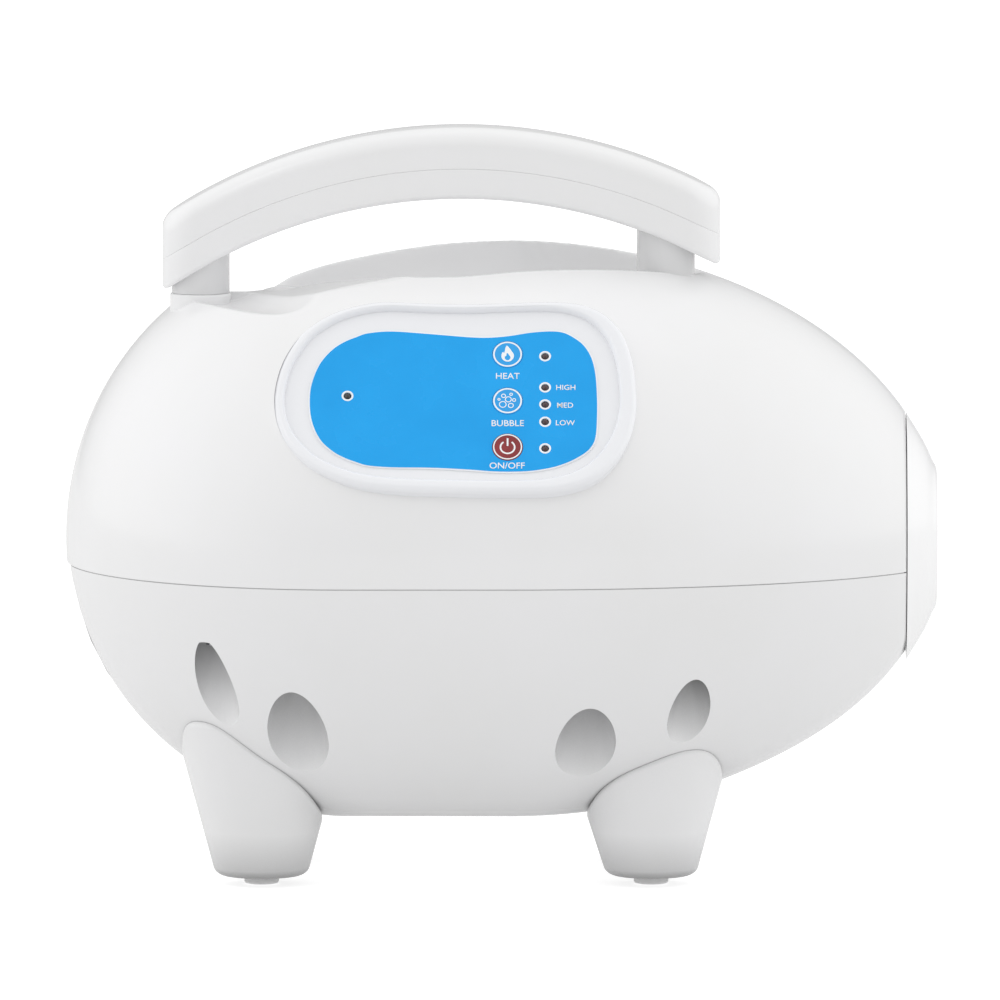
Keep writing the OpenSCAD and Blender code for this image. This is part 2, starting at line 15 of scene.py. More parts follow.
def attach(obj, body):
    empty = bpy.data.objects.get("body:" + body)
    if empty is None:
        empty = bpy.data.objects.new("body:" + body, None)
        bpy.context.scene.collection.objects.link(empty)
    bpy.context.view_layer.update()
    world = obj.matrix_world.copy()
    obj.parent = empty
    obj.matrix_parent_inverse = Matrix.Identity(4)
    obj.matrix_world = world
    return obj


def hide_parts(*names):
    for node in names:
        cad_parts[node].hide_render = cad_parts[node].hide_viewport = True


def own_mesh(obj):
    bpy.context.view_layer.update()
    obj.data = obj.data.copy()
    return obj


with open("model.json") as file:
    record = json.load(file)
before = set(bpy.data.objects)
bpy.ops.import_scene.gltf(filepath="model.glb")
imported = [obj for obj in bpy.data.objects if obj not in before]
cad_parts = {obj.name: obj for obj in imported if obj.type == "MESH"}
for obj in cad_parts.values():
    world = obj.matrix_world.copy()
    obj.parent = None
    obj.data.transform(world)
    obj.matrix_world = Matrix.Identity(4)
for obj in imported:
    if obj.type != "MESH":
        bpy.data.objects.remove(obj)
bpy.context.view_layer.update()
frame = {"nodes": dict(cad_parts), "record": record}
MM = 0.001

# ---------- sizes read off the frame or shared with the CAD ----------
AXIS_Z = 134.7
BODY_R = 118.4
TAIL_X, TAIL_A = -62.2, 112.0
NOSE_X, NOSE_A = 2.6, 175.2
RING_X = 161.4
SEAM_Z, SEAM_GAP = 125.0, 0.4
WALL = 2.6
PANEL_AT = np.array([-18.4, -89.2, 198.8])
PANEL_TILT = math.radians(55)
PANEL_DROP = -1.96
KEY_S, KEY_T, KEY_R = 20.8, (19.7, -1.5, -22.5), 6.1
LED_S, LED_T, LED_R = 35.7, (18.9, 4.7, -3.1, -11.0, -23.1), 1.5
IR_S, IR_T = -42.7, 0.8
# screw pockets: x, y, half widths along x and y
WELLS = ((-113.0, 91.2, 8.8, 7.8), (-80.8, 91.8, 12.2, 12.5),
         (33.4, 88.4, 12.1, 12.1), (74.4, 87.6, 8.6, 8.8))
SCREWS = ((-113.4, 90.9), (-80.6, 92.4), (33.6, 88.5), (74.1, 87.0))
WELL_Z = 103.0
# legs: x, foot radius, growth along x and y per mm up, lean along x per mm up
LEGS = ((-95.7, 18.2, 0.272, 0.33, 0.0), (59.7, 17.8, 0.3, 0.275, -0.028))
LEG_Y, LEG_Z = 45.0, 3.2
POST_Y, POST_R = -12.0, 11.6
POST_LEFT, POST_RIGHT = -120.1, 65.6
FLAT_Z = 233.6


# ---------- soft maximum and the shape functions (negative inside) ----------
def smax(a, b, k):
    h = np.clip(0.5 + 0.5 * (a - b) / k, 0, 1)
    return b * (1 - h) + a * h + k * h * (1 - h)


def ease(x):
    x = np.clip(x, 0, 1)
    return x * x * (3 - 2 * x)


def egg(x, y, z):
    r = np.sqrt(y * y + (z - AXIS_Z) ** 2)
    dx = np.where(x < TAIL_X, x - TAIL_X, np.where(x > NOSE_X, x - NOSE_X, 0.0))
    a = np.where(x < TAIL_X, TAIL_A, NOSE_A)
    k = np.sqrt((dx / a) ** 2 + (r / BODY_R) ** 2) + 1e-9
    grad = np.sqrt((dx / a**2) ** 2 + (r / BODY_R**2) ** 2) / k + 1e-9
    return (k - 1) / grad


def radius_at(x):
    a = np.where(x < TAIL_X, (x - TAIL_X) / TAIL_A, np.where(x > NOSE_X, (x - NOSE_X) / NOSE_A, 0))
    return BODY_R * np.sqrt(np.clip(1 - a * a, 0, 1))


def belly_share(x):
    tail = 0.94 - 0.034 * ease((TAIL_X - x) / 60)
    nose = np.minimum(1, 0.94 + 0.06 * np.clip((x - 95) / 66.4, 0, 1) ** 2)
    return np.where(x < TAIL_X, tail, nose)


def lower_field(x, y, z):
    depth = belly_share(x) * radius_at(x)
    slope = np.clip((x - 20) / 190, -0.9, 0.9)
    belly = (AXIS_Z - depth - z) / np.sqrt(1 + slope**2)
    return smax(egg(x, y, z), belly, 12.0)


def knots(x, xs, ys, spread=4.0):
    """Values through the knots with their corners rounded over the spread."""
    return (np.interp(x - spread, xs, ys) + 2 * np.interp(x, xs, ys) + np.interp(x + spread, xs, ys)) / 4


# height of the shelf in front of the trough, along x
SHELF_X = (-97, -84, -73, -60, -36, -20, 0)
SHELF_Z = (FLAT_Z, 234.5, 237.7, 240.2, 243.8, 254, 300)
# crest behind the shelf: an arc about CREST_X, starting at CREST_FROM with a lift
CREST_X, CREST_A, CREST_FROM, CREST_LIFT = 2.6, 178.0, -90, 0.6
SHELF_BACK, SHELF_BLEND = -9.0, 10.0
# finger trough: centre height and depth, where its ends begin, and its half width and middle along x
TROUGH_Z, TROUGH_DEPTH = 257.0, 34.0
TROUGH_TAIL, TROUGH_TAIL_A, TROUGH_NOSE, TROUGH_NOSE_A = -50.0, 62.0, 7.0, 81.7
TROUGH_HALF_X, TROUGH_HALF = (-96, -84, -73, -60, -36, -16, 7), (19, 19, 20, 29, 36.5, 35, 29)
TROUGH_MID_X, TROUGH_MID = (-96, -84, -73, -60, -36, 7, 40, 78), (7, 6, 1, -6.5, -13.5, -15, -9.5, -3)
# dish beside the left post: a point on its valley, its turn, its lowest height and its two radii
DISH_AT, DISH_TURN, DISH_Z, DISH_R = (-91.0, -67.0), math.radians(24.4), 229.5, (36.0, 28.0)
DISH_END = -14.0


def crest(x, y):
    """Height of the crest that carries the trough's far wall; it falls away behind."""
    arch = AXIS_Z + BODY_R * np.sqrt(np.clip(1 - ((x - CREST_X) / CREST_A) ** 2, 0, 1))
    top = np.where(x < CREST_FROM, np.maximum(arch, FLAT_Z), arch + CREST_LIFT)
    top = top + 3 * (np.maximum(0, x - 2) / 40) ** 2
    return top - 0.25 * np.maximum(0, y - np.interp(x, (-102, -84), (-8, 13)))


def trough(x, y, z):
    tail, nose = (x - TROUGH_TAIL) / TROUGH_TAIL_A, (x - TROUGH_NOSE) / TROUGH_NOSE_A
    push = np.where(x < TROUGH_TAIL, tail, np.where(x > TROUGH_NOSE, nose, 0.0))
    half = knots(x, TROUGH_HALF_X, TROUGH_HALF)
    mid = knots(x, TROUGH_MID_X, TROUGH_MID)
    return np.sqrt(((y - mid) / half) ** 2 + ((z - TROUGH_Z) / TROUGH_DEPTH) ** 2 + push**2) - 1


def dish(x, y, z):
    across = (x - DISH_AT[0]) * math.cos(DISH_TURN) + (y - DISH_AT[1]) * math.sin(DISH_TURN)
    bowl = np.where(across > 0, DISH_R[1], DISH_R[0])
    return np.sqrt(across**2 + (z - DISH_Z - bowl) ** 2) - bowl + 0.6 * np.maximum(0, y - DISH_END)


def upper_field(x, y, z):
    shelf = knots(x, SHELF_X, SHELF_Z)
    top = shelf + (crest(x, y) - shelf) * ease((y - SHELF_BACK) / SHELF_BLEND)
    f = smax(egg(x, y, z), (z - top) * 0.95, 1.2)
    f = smax(f, -trough(x, y, z) * 32, 1.8)
    return smax(f, -dish(x, y, z), 0.8)


# ---------- mesh helpers ----------
def make(name, verts, faces, smooth=True, sharp=35):
    me = bpy.data.meshes.new(name)
    me.from_pydata([tuple(v) for v in np.asarray(verts, float) * MM], [], faces)
    me.validate()
    me.update()
    ob = bpy.data.objects.new(name, me)
    bpy.context.scene.collection.objects.link(ob)
    if smooth:
        me.shade_smooth()
        me.set_sharp_from_angle(angle=math.radians(sharp))
    return ob


def ring_faces(rows, cols, close_end=True):
    """Quads between closed rings of vertices, with a face at the start and, if asked, at the end."""
    faces = []
    for i in range(rows - 1):
        a, b = i * cols, (i + 1) * cols
        for j in range(cols):
            k = (j + 1) % cols
            faces.append((a + j, a + k, b + k, b + j))
    faces.append(tuple(range(cols))[::-1])
    if close_end:
        faces.append(tuple((rows - 1) * cols + j for j in range(cols)))
    return faces


def loft(name, rings, sharp=35):
    """A solid through closed rings, with a flat face at each end."""
    ob = make(name, np.vstack(rings), ring_faces(len(rings), len(rings[0])), True, sharp)
    outward(ob)
    return ob


def hoop(name, rings, sharp=35):
    """A solid whose last ring joins its first."""
    rows, cols = len(rings), len(rings[0])
    faces = []
    for i in range(rows):
        a, b = i * cols, ((i + 1) % rows) * cols
        for j in range(cols):
            k = (j + 1) % cols
            faces.append((a + j, a + k, b + k, b + j))
    ob = make(name, np.vstack(rings), faces, True, sharp)
    outward(ob)
    return ob


def outward(ob):
    """Turns every face to look out of the solid."""
    bm = bmesh.new()
    bm.from_mesh(ob.data)
    bmesh.ops.recalc_face_normals(bm, faces=bm.faces)
    bm.to_mesh(ob.data)
    bm.free()


def turned(name, profile, at, n=96):
    """Upright solid of revolution from [radius, height] points."""
    a = np.linspace(0, 2 * math.pi, n, endpoint=False)
    rings = [np.stack([r * np.cos(a), r * np.sin(a), np.full(n, h)], 1) + np.asarray(at, float)
             for r, h in profile]
    return loft(name, rings)


def oval(name, profile, x, y, rx, ry, n):
    """Upright solid with an oval section; profile is [growth, height]."""
    a = np.linspace(0, 2 * math.pi, n, endpoint=False)
    rings = [np.stack([x + (rx + g) * np.cos(a), y + (ry + g) * np.sin(a), np.full(n, h)], 1)
             for g, h in profile]
    return loft(name, rings)


def block(name, low, high, matrix=None):
    """A box between two corners, moved by the matrix if there is one."""
    v = [(x, y, z) for x in (low[0], high[0]) for y in (low[1], high[1]) for z in (low[2], high[2])]
    f = [(0, 1, 3, 2), (4, 6, 7, 5), (0, 4, 5, 1), (2, 3, 7, 6), (0, 2, 6, 4), (1, 5, 7, 3)]
    if matrix is not None:
        v = [tuple(matrix @ Vector(p)) for p in v]
    ob = make(name, v, f, False)
    outward(ob)
    return ob


def skin(name, field, xs, angles, level=0.0):
    """Closed surface where field = level, found along rays square to the long axis."""
    x = xs[:, None] + 0 * angles[None, :]
    cy, cz = np.cos(angles)[None, :], np.sin(angles)[None, :]
    lo, hi = np.full(x.shape, 0.01), np.full(x.shape, 135.0)
    for _ in range(26):
        mid = (lo + hi) / 2
        inside = field(x, mid * cy, AXIS_Z + mid * cz) < level
        lo, hi = np.where(inside, mid, lo), np.where(inside, hi, mid)
    r = (lo + hi) / 2
    pts = np.stack([x, r * cy, AXIS_Z + r * cz], 2)
    n, m = x.shape
    grid = np.arange(n * m).reshape(n, m)
    a, b = grid[:-1], grid[1:]
    quads = np.stack([a, np.roll(a, -1, 1), np.roll(b, -1, 1), b], 2).reshape(-1, 4)
    verts = np.vstack([pts.reshape(-1, 3), [[xs[0] - 0.02, 0, AXIS_Z], [xs[-1] + 0.02, 0, AXIS_Z]]])
    faces = quads.tolist()
    tip, end = n * m, n * m + 1
    for j in range(m):
        k = (j + 1) % m
        faces.append((tip, int(grid[0, k]), int(grid[0, j])))
        faces.append((end, int(grid[-1, j]), int(grid[-1, k])))
    ob = make(name, verts, faces, True, 60)
    outward(ob)
    return ob


def cut(ob, cutter, how="DIFFERENCE"):
    """Cuts the cutter out of the object, or joins it on, and uses the cutter up."""
    m = ob.modifiers.new("cut", "BOOLEAN")
    m.operation = how
    m.solver = "MANIFOLD"
    m.object = cutter
    bake(ob)
    bpy.data.objects.remove(cutter)


def bake(ob):
    """Replaces the mesh with what its modifiers make of it."""
    graph = bpy.context.evaluated_depsgraph_get()
    me = bpy.data.meshes.new_from_object(ob.evaluated_get(graph))
    ob.modifiers.clear()
    ob.data = me


def soften(ob):
    """Smooth shading that stays sharp at the real edges."""
    ob.data.shade_smooth()
    ob.data.set_sharp_from_angle(angle=math.radians(40))
    m = ob.modifiers.new("even_normals", "WEIGHTED_NORMAL")
    m.keep_sharp = True
    m.weight = 50


# ---------- panel frame ----------
PS = np.array([1.0, 0.0, 0.0])
PT = np.array([0.0, math.cos(PANEL_TILT), math.sin(PANEL_TILT)])
PN = np.array([0.0, -math.sin(PANEL_TILT), math.cos(PANEL_TILT)])


def on_panel(s, t, n):
    """Places of panel points: s to the right, t up the slope, n out of the panel."""
    s, t, n = np.broadcast_arrays(s, t, n)
    return PANEL_AT + s[..., None] * PS + (t[..., None] + PANEL_DROP) * PT + n[..., None] * PN


def panel_plate(name, loops, n0, n1, sharp=35):
    """Flat plate in the panel frame from an outline and hole outlines."""
    bm = bmesh.new()
    edges, rows = [], []
    for loop in loops:
        vs = [bm.verts.new(on_panel(s, t, n1) * MM) for s, t in loop]
        rows.append(vs)
        edges += [bm.edges.new((vs[i], vs[(i + 1) % len(vs)])) for i in range(len(vs))]
    bmesh.ops.triangle_fill(bm, use_beauty=True, use_dissolve=False, edges=edges, normal=Vector(PN))
    top = list(bm.faces)
    res = bmesh.ops.duplicate(bm, geom=list(bm.verts) + list(bm.edges) + top)
    shift = Vector((n0 - n1) * MM * PN)
    twin = res["vert_map"]
    for v in [twin[v] for vs in rows for v in vs]:
        v.co += shift
    for vs in rows:
        for i in range(len(vs)):
            a, b = vs[i], vs[(i + 1) % len(vs)]
            bm.faces.new((a, b, twin[b], twin[a]))
    bmesh.ops.recalc_face_normals(bm, faces=bm.faces)
    me = bpy.data.meshes.new(name)
    bm.to_mesh(me)
    bm.free()
    ob = bpy.data.objects.new(name, me)
    bpy.context.scene.collection.objects.link(ob)
    me.shade_smooth()
    me.set_sharp_from_angle(angle=math.radians(sharp))
    return ob


def circle(s, t, r, n=48):
    a = np.linspace(0, 2 * math.pi, n, endpoint=False)
    return np.stack([s + r * np.cos(a), t + r * np.sin(a)], 1)


def smooth_span(a, b, c, d, n):
    """Catmull-Rom points from b towards c."""
    out = []
    for k in range(n):
        u = k / n
        out.append(0.5 * (2 * b + (c - a) * u + (2 * a - 5 * b + 4 * c - d) * u**2
                          + (3 * b - a - 3 * c + d) * u**3))
    return out


def smooth_loop(points, n):
    """Closed smooth curve through the points."""
    p = np.asarray(points, float)
    out = []
    for i in range(len(p)):
        out += smooth_span(p[i - 1], p[i], p[(i + 1) % len(p)], p[(i + 2) % len(p)], n)
    return np.array(out)


def smooth_run(points, n):
    """Open smooth curve through the points."""
    p = np.asarray(points, float)
    p = np.vstack([2 * p[0] - p[1], p, 2 * p[-1] - p[-2]])
    out = []
    for i in range(1, len(p) - 2):
        out += smooth_span(p[i - 1], p[i], p[i + 1], p[i + 2], n)
    return np.array(out + [p[-2]])


def join(name, obs):
    """One object out of several."""
    bm = bmesh.new()
    for o in obs:
        bm.from_mesh(o.data)
    me = bpy.data.meshes.new(name)
    bm.to_mesh(me)
    bm.free()
    for o in obs:
        bpy.data.objects.remove(o)
    ob = bpy.data.objects.new(name, me)
    bpy.context.scene.collection.objects.link(ob)
    me.shade_smooth()
    me.set_sharp_from_angle(angle=math.radians(35))
    return ob


# ---------- materials ----------
def node(nt, kind, **inputs):
    """A shader node with its inputs set; a name with an underscore first is a setting."""
    n = nt.nodes.new(kind)
    for k, v in inputs.items():
        if k.startswith("_"):
            setattr(n, k[1:], v)
        else:
            n.inputs[k].default_value = v
    return n


def finish(name, low, high, rough=(0.2, 0.3), scale=30.0, grain=1500.0, bump=0.1, depth=2e-5,
           metal=0.0, coat=0.0, pattern="noise", along=(1, 1, 1), specular=0.5):
    """Principled material whose colour, roughness and relief all come from texture nodes."""
    m = bpy.data.materials.new(name)
    m.use_nodes = True
    nt = m.node_tree
    b = nt.nodes["Principled BSDF"]
    b.inputs["Metallic"].default_value = metal
    b.inputs["Coat Weight"].default_value = coat
    b.inputs["Coat Roughness"].default_value = 0.08
    b.inputs["Specular IOR Level"].default_value = specular
    co = nt.nodes.new("ShaderNodeTexCoord")
    mp = node(nt, "ShaderNodeMapping")
    mp.inputs["Scale"].default_value = along
    nt.links.new(co.outputs["Object"], mp.inputs["Vector"])
    broad = node(nt, "ShaderNodeTexNoise", Scale=scale, Detail=4.0, Roughness=0.55)
    nt.links.new(mp.outputs["Vector"], broad.inputs["Vector"])
    source = broad.outputs["Fac"]
    if pattern == "bands":
        w = node(nt, "ShaderNodeTexWave", Scale=scale, Distortion=0.6, Detail=2.0)
        nt.links.new(mp.outputs["Vector"], w.inputs["Vector"])
        source = w.outputs["Fac"]
    elif pattern == "cells":
        w = node(nt, "ShaderNodeTexVoronoi", Scale=scale)
        nt.links.new(mp.outputs["Vector"], w.inputs["Vector"])
        source = w.outputs["Distance"]
    elif pattern == "board":
        w = node(nt, "ShaderNodeTexBrick", Scale=scale)
        w.inputs["Color1"].default_value = (0, 0, 0, 1)
        w.inputs["Color2"].default_value = (0.3, 0.3, 0.3, 1)
        w.inputs["Mortar"].default_value = (1, 1, 1, 1)
        w.inputs["Mortar Size"].default_value = 0.03
        nt.links.new(mp.outputs["Vector"], w.inputs["Vector"])
        source = w.outputs["Color"]
    ramp = nt.nodes.new("ShaderNodeValToRGB")
    ramp.color_ramp.elements[0].position = 0.3
    ramp.color_ramp.elements[1].position = 0.7
    ramp.color_ramp.elements[0].color = (*low, 1)
    ramp.color_ramp.elements[1].color = (*high, 1)
    nt.links.new(source, ramp.inputs["Fac"])
    nt.links.new(ramp.outputs["Color"], b.inputs["Base Color"])
    rr = node(nt, "ShaderNodeMapRange")
    rr.inputs["From Min"].default_value = 0.3
    rr.inputs["From Max"].default_value = 0.7
    rr.inputs["To Min"].default_value = rough[0]
    rr.inputs["To Max"].default_value = rough[1]
    nt.links.new(broad.outputs["Fac"], rr.inputs["Value"])
    nt.links.new(rr.outputs["Result"], b.inputs["Roughness"])
    fine = node(nt, "ShaderNodeTexNoise", Scale=grain, Detail=3.0, Roughness=0.6)
    nt.links.new(mp.outputs["Vector"], fine.inputs["Vector"])
    bp = node(nt, "ShaderNodeBump", Strength=bump, Distance=depth)
    height = fine.outputs["Fac"]
    if pattern != "noise":
        add = nt.nodes.new("ShaderNodeMath")
        add.operation = "MULTIPLY_ADD"
        add.inputs[1].default_value = 0.3
        nt.links.new(height, add.inputs[0])
        nt.links.new(source, add.inputs[2])
        height = add.outputs[0]
    nt.links.new(height, bp.inputs["Height"])
    nt.links.new(bp.outputs["Normal"], b.inputs["Normal"])
    return m


def lin(r, g, b):
    """Linear colour from 0 to 255 screen values."""
    return tuple(((c / 255) / 12.92 if c <= 10 else ((c / 255 + 0.055) / 1.055) ** 2.4) for c in (r, g, b))


def white(name, tone, rough=(0.16, 0.24), hollow=0.0):
    """Moulded white plastic; hollow is the strength of painted shade that darkens the colour inside tight
    recesses.
    """
    m = finish(name, lin(tone, tone, tone), lin(tone + 2, tone + 2, tone + 3), rough, 14.0,
               900.0, 0.05, 1.5e-5, coat=0.25)
    # painted shade: an ambient occlusion node darkens the base colour in wells, dishes and other recesses
    if hollow:
        nt = m.node_tree
        b = nt.nodes["Principled BSDF"]
        base = b.inputs["Base Color"].links[0].from_socket
        ao = node(nt, "ShaderNodeAmbientOcclusion", Distance=0.022, _samples=6)
        shade = node(nt, "ShaderNodeMapRange")
        shade.inputs["To Min"].default_value = 1 - hollow
        nt.links.new(ao.outputs["AO"], shade.inputs["Value"])
        mul = node(nt, "ShaderNodeVectorMath", _operation="SCALE")
        nt.links.new(base, mul.inputs[0])
        nt.links.new(shade.outputs["Result"], mul.inputs["Scale"])
        nt.links.new(mul.outputs[0], b.inputs["Base Color"])
    return m


def metal(name, low, high, rough, along=(1, 1, 1)):
    return finish(name, lin(*low), lin(*high), rough, 60.0, 2500.0, 0.15, 2e-5, metal=1.0, along=along)


MATS = {
    "shell_white": white("shell_white", 241),
    # painted shade in recesses (hollow=0.6) for the lower shell and the legs
    "shell_grey_white": white("shell_grey_white", 239, hollow=0.6),
    "ring_white": white("ring_white", 251),
    "grip_white": white("grip_white", 241),
    "post_white": white("post_white", 224, (0.05, 0.1)),
    "bezel_white": finish("bezel_white", lin(241, 242, 245), lin(244, 245, 248), (0.1, 0.16), 12.0,
                          900.0, 0.04, 1e-5, coat=0.5),
    "label_blue": finish("label_blue", lin(27, 163, 238), lin(31, 170, 245), (0.22, 0.3), 40.0,
                         2200.0, 0.12, 1.5e-5, coat=0.3, specular=0.12),
    "key_blue": finish("key_blue", lin(27, 160, 234), lin(33, 168, 242), (0.22, 0.3), 60.0,
                       2200.0, 0.15, 1.5e-5, coat=0.3),
    "key_red": finish("key_red", lin(122, 22, 30), lin(146, 30, 38), (0.2, 0.3), 60.0, 2200.0, 0.15,
                      1.5e-5, coat=0.4),
    "print_white": finish("print_white", lin(244, 247, 250), lin(252, 253, 255), (0.3, 0.4), 80.0,
                          3000.0, 0.1, 1e-5),
    "black_plastic": finish("black_plastic", lin(20, 20, 22), lin(34, 34, 36), (0.3, 0.45), 40.0,
                            1800.0, 0.3, 3e-5),
    "ir_black": finish("ir_black", lin(10, 10, 14), lin(22, 18, 24), (0.05, 0.12), 50.0, 1500.0, 0.03,
                       1e-5, coat=0.8),
    "led_red": finish("led_red", lin(34, 12, 16), lin(62, 18, 24), (0.05, 0.12), 90.0, 1500.0, 0.03,
                      1e-5, coat=0.8),
    "board_green": finish("board_green", lin(16, 84, 44), lin(58, 132, 74), (0.25, 0.4), 90.0, 1500.0,
                          0.3, 5e-5, pattern="board"),
    "parts_dark": finish("parts_dark", lin(34, 34, 40), lin(64, 64, 70), (0.35, 0.5), 45.0, 1600.0, 0.3,
                         4e-5),
    "lead_grey": finish("lead_grey", lin(120, 120, 126), lin(150, 150, 156), (0.35, 0.5), 60.0, 1200.0,
                        0.2, 3e-5),
    "lead_red": finish("lead_red", lin(150, 26, 24), lin(184, 40, 34), (0.35, 0.5), 60.0, 1200.0, 0.2,
                       3e-5),
    "rubber_black": finish("rubber_black", lin(18, 18, 19), lin(36, 36, 37), (0.6, 0.8), 60.0, 1400.0,
                           0.5, 6e-5),
    "rubber_grey": finish("rubber_grey", lin(244, 244, 244), lin(250, 250, 250), (0.6, 0.8), 60.0, 1400.0,
                          0.5, 6e-5),
    "foam_black": finish("foam_black", lin(8, 8, 9), lin(44, 44, 46), (0.85, 0.98), 480.0, 1500.0, 1.0,
                         5e-4, pattern="cells"),
    "screw_steel": metal("screw_steel", (176, 176, 180), (206, 206, 210), (0.2, 0.35)),
    "steel": metal("steel", (158, 160, 165), (190, 192, 196), (0.25, 0.4), along=(8, 1, 1)),
    "laminated_steel": finish("laminated_steel", lin(92, 94, 98), lin(150, 152, 156), (0.35, 0.5),
                              900.0, 2500.0, 0.8, 1e-4, metal=1.0, pattern="bands"),
    "aluminium": metal("aluminium", (196, 198, 202), (218, 220, 223), (0.3, 0.42)),
    "copper": finish("copper", lin(150, 78, 40), lin(214, 132, 84), (0.2, 0.35), 700.0, 2500.0, 0.9,
                     1.2e-4, metal=1.0, pattern="bands"),
    "brass": metal("brass", (176, 140, 66), (212, 178, 100), (0.22, 0.36)),
    "carbon": finish("carbon", lin(26, 26, 28), lin(46, 46, 48), (0.5, 0.7), 120.0, 2400.0, 0.5, 4e-5),
    "mica": finish("mica", lin(178, 160, 120), lin(206, 190, 154), (0.35, 0.6), 80.0, 1600.0, 0.4, 5e-5,
                   along=(1, 6, 6)),
    "heat_wire": metal("heat_wire", (150, 146, 142), (190, 186, 180), (0.3, 0.5)),
    "duct_white": white("duct_white", 226, (0.3, 0.45)),
    "spring_steel": metal("spring_steel", (150, 152, 158), (196, 198, 204), (0.15, 0.3)),
    "valve_grey": finish("valve_grey", lin(150, 152, 156), lin(170, 172, 176), (0.35, 0.5), 40.0,
                         1400.0, 0.2, 3e-5),
    "frame_grey": finish("frame_grey", lin(76, 76, 80), lin(98, 98, 102), (0.4, 0.55), 40.0, 1400.0,
                         0.25, 3e-5),
}


def wear(ob, slot, body="housing", replaces=()):
    """Gives a piece the material of its slot, hangs it under its body and hides the CAD nodes it stands for.
    """
    ob.data.materials.clear()
    ob.data.materials.append(MATS[slot])
    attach(ob, body)
    if replaces:
        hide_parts(*replaces)


# ---------- CAD nodes that stay ----------
for part in frame["record"]["subparts"]:
    kept = frame["nodes"].get(part["node"])
    if kept is not None:
        kept.data.materials.clear()
        kept.data.materials.append(MATS[part["material_slot"]])

# ---------- outline of the panel frame ----------
BEZEL = [(72.0, -6.0), (71.8, 5.0), (70.8, 15.0), (67.8, 26.0), (63.0, 34.2), (56.6, 39.8), (47.5, 43.0),
         (36.0, 43.7), (22.2, 43.2), (8.0, 42.7), (-8.0, 42.9), (-20.0, 43.5), (-30.0, 43.6), (-40.4, 41.6),
         (-50.5, 37.4), (-59.4, 30.6), (-65.0, 23.0), (-69.2, 14.0), (-71.6, 4.0), (-72.0, -5.0),
         (-70.4, -14.0), (-66.0, -23.2), (-56.8, -32.6), (-42.0, -39.6), (-24.0, -42.6), (3.8, -43.6),
         (28.4, -43.7), (42.0, -42.6), (54.6, -38.2), (63.4, -30.0), (69.4, -18.6)]
BEZEL_EDGE = smooth_loop(BEZEL, 8)


def inset(loop, d):
    """The outline moved inwards by d."""
    step = np.roll(loop, -1, 0) - np.roll(loop, 1, 0)
    step /= np.linalg.norm(step, axis=1, keepdims=True)
    return loop + d * np.stack([-step[:, 1], step[:, 0]], 1)


def outer_loop(d):
    return inset(BEZEL_EDGE, d)


def inner_loop(d):
    return inset(BEZEL_EDGE * (66.2 / 72, 38.7 / 43.7) + (-1.2, 1.0), -d)


# ---------- outer shells ----------
BIG = 400.0
PEDESTAL_R, PEDESTAL_EDGE = 12.25, 0.9
GROOVE = 0.35
TONGUE = (-2.9, -4.6)
TAIL_FRAME = Matrix.Translation((-152, 0, 86)) @ Matrix.Rotation(math.radians(-23.5), 4, "Y")


def stations(fine, middle):
    """x stations, close together at both ends and over the trough."""
    tail = TAIL_X - TAIL_A * np.cos(np.linspace(0.02, 0.84, int(46 / fine)))
    mid = np.arange(tail[-1] + middle, 96, middle)
    nose = np.arange(mid[-1] + 1.3 * middle, RING_X + 1.0, 1.3 * middle)
    return np.concatenate([tail, mid, nose])


def turns(start, stop, few, many):
    """Angles round the body, few degrees apart from start to stop and many apart elsewhere."""
    inner = np.arange(start, stop, few)
    outer = np.arange(stop, start + 360, many)
    return np.radians(np.concatenate([inner, outer]))


def screw_hole(x, y, z0, z1, r):
    return turned("hole", [(r, z0), (r, z1)], (x, y, 0), 32)


def above(z):
    return block("above", (-BIG, -BIG, z), (BIG, BIG, BIG))


def below(z):
    return block("below", (-BIG, -BIG, -BIG), (BIG, BIG, z))


def past(x):
    return block("past", (x, -BIG, -BIG), (BIG, BIG, BIG))


def hollow(field, start, stop):
    """The room inside a shell, one wall in from its outer skin."""
    xs = np.append(stations(3.0, 4.0), RING_X + 2.1)
    return skin("hollow", field, xs, turns(start, stop, 2, 4), -WALL)


def pedestal():
    """Round stand of the left post, with a rounded top edge."""
    rim = [(PEDESTAL_R - PEDESTAL_EDGE * (1 - math.cos(a)), FLAT_Z - PEDESTAL_EDGE * (1 - math.sin(a)))
           for a in np.linspace(0.3, math.pi / 2, 5)]
    side = [(PEDESTAL_R, 190), (PEDESTAL_R, FLAT_Z - PEDESTAL_EDGE)]
    return turned("pedestal", side + rim, (POST_LEFT, POST_Y, 0))


shell_top = skin("shell_top", upper_field, stations(1.0, 1.0), turns(48, 132, 0.36, 1.4))
cut(shell_top, pedestal(), "UNION")
cut(shell_top, hollow(upper_field, 48, 132))
cut(shell_top, below(SEAM_Z + SEAM_GAP / 2))
cut(shell_top, past(RING_X))
cut(shell_top, panel_plate("pocket", [outer_loop(0.3)], -14, 40))
cut(shell_top, screw_hole(POST_LEFT, POST_Y, 210, 250, 3.3))
soften(shell_top)
wear(shell_top, "shell_white", replaces=["upper_shell"])

# the lower shell keeps a sleeve of plastic round each screw pocket and behind the mains inlet
shell_bottom = skin("shell_bottom", lower_field, stations(1.0, 1.2), turns(195, 345, 0.7, 1.6))
inner_low = hollow(lower_field, 195, 345)
for x, y, rx, ry in WELLS:
    for side in (-1, 1):
        cut(inner_low, oval("sleeve", [(2.2, 20), (2.2, WELL_Z + 2.6)], x, side * y, rx, ry, 96))
cut(inner_low, block("inlet_box", (-38, 84, 72), (-2, 144, 98)))
cut(shell_bottom, inner_low)
cut(shell_bottom, above(SEAM_Z + SEAM_GAP / 2 - 0.03))

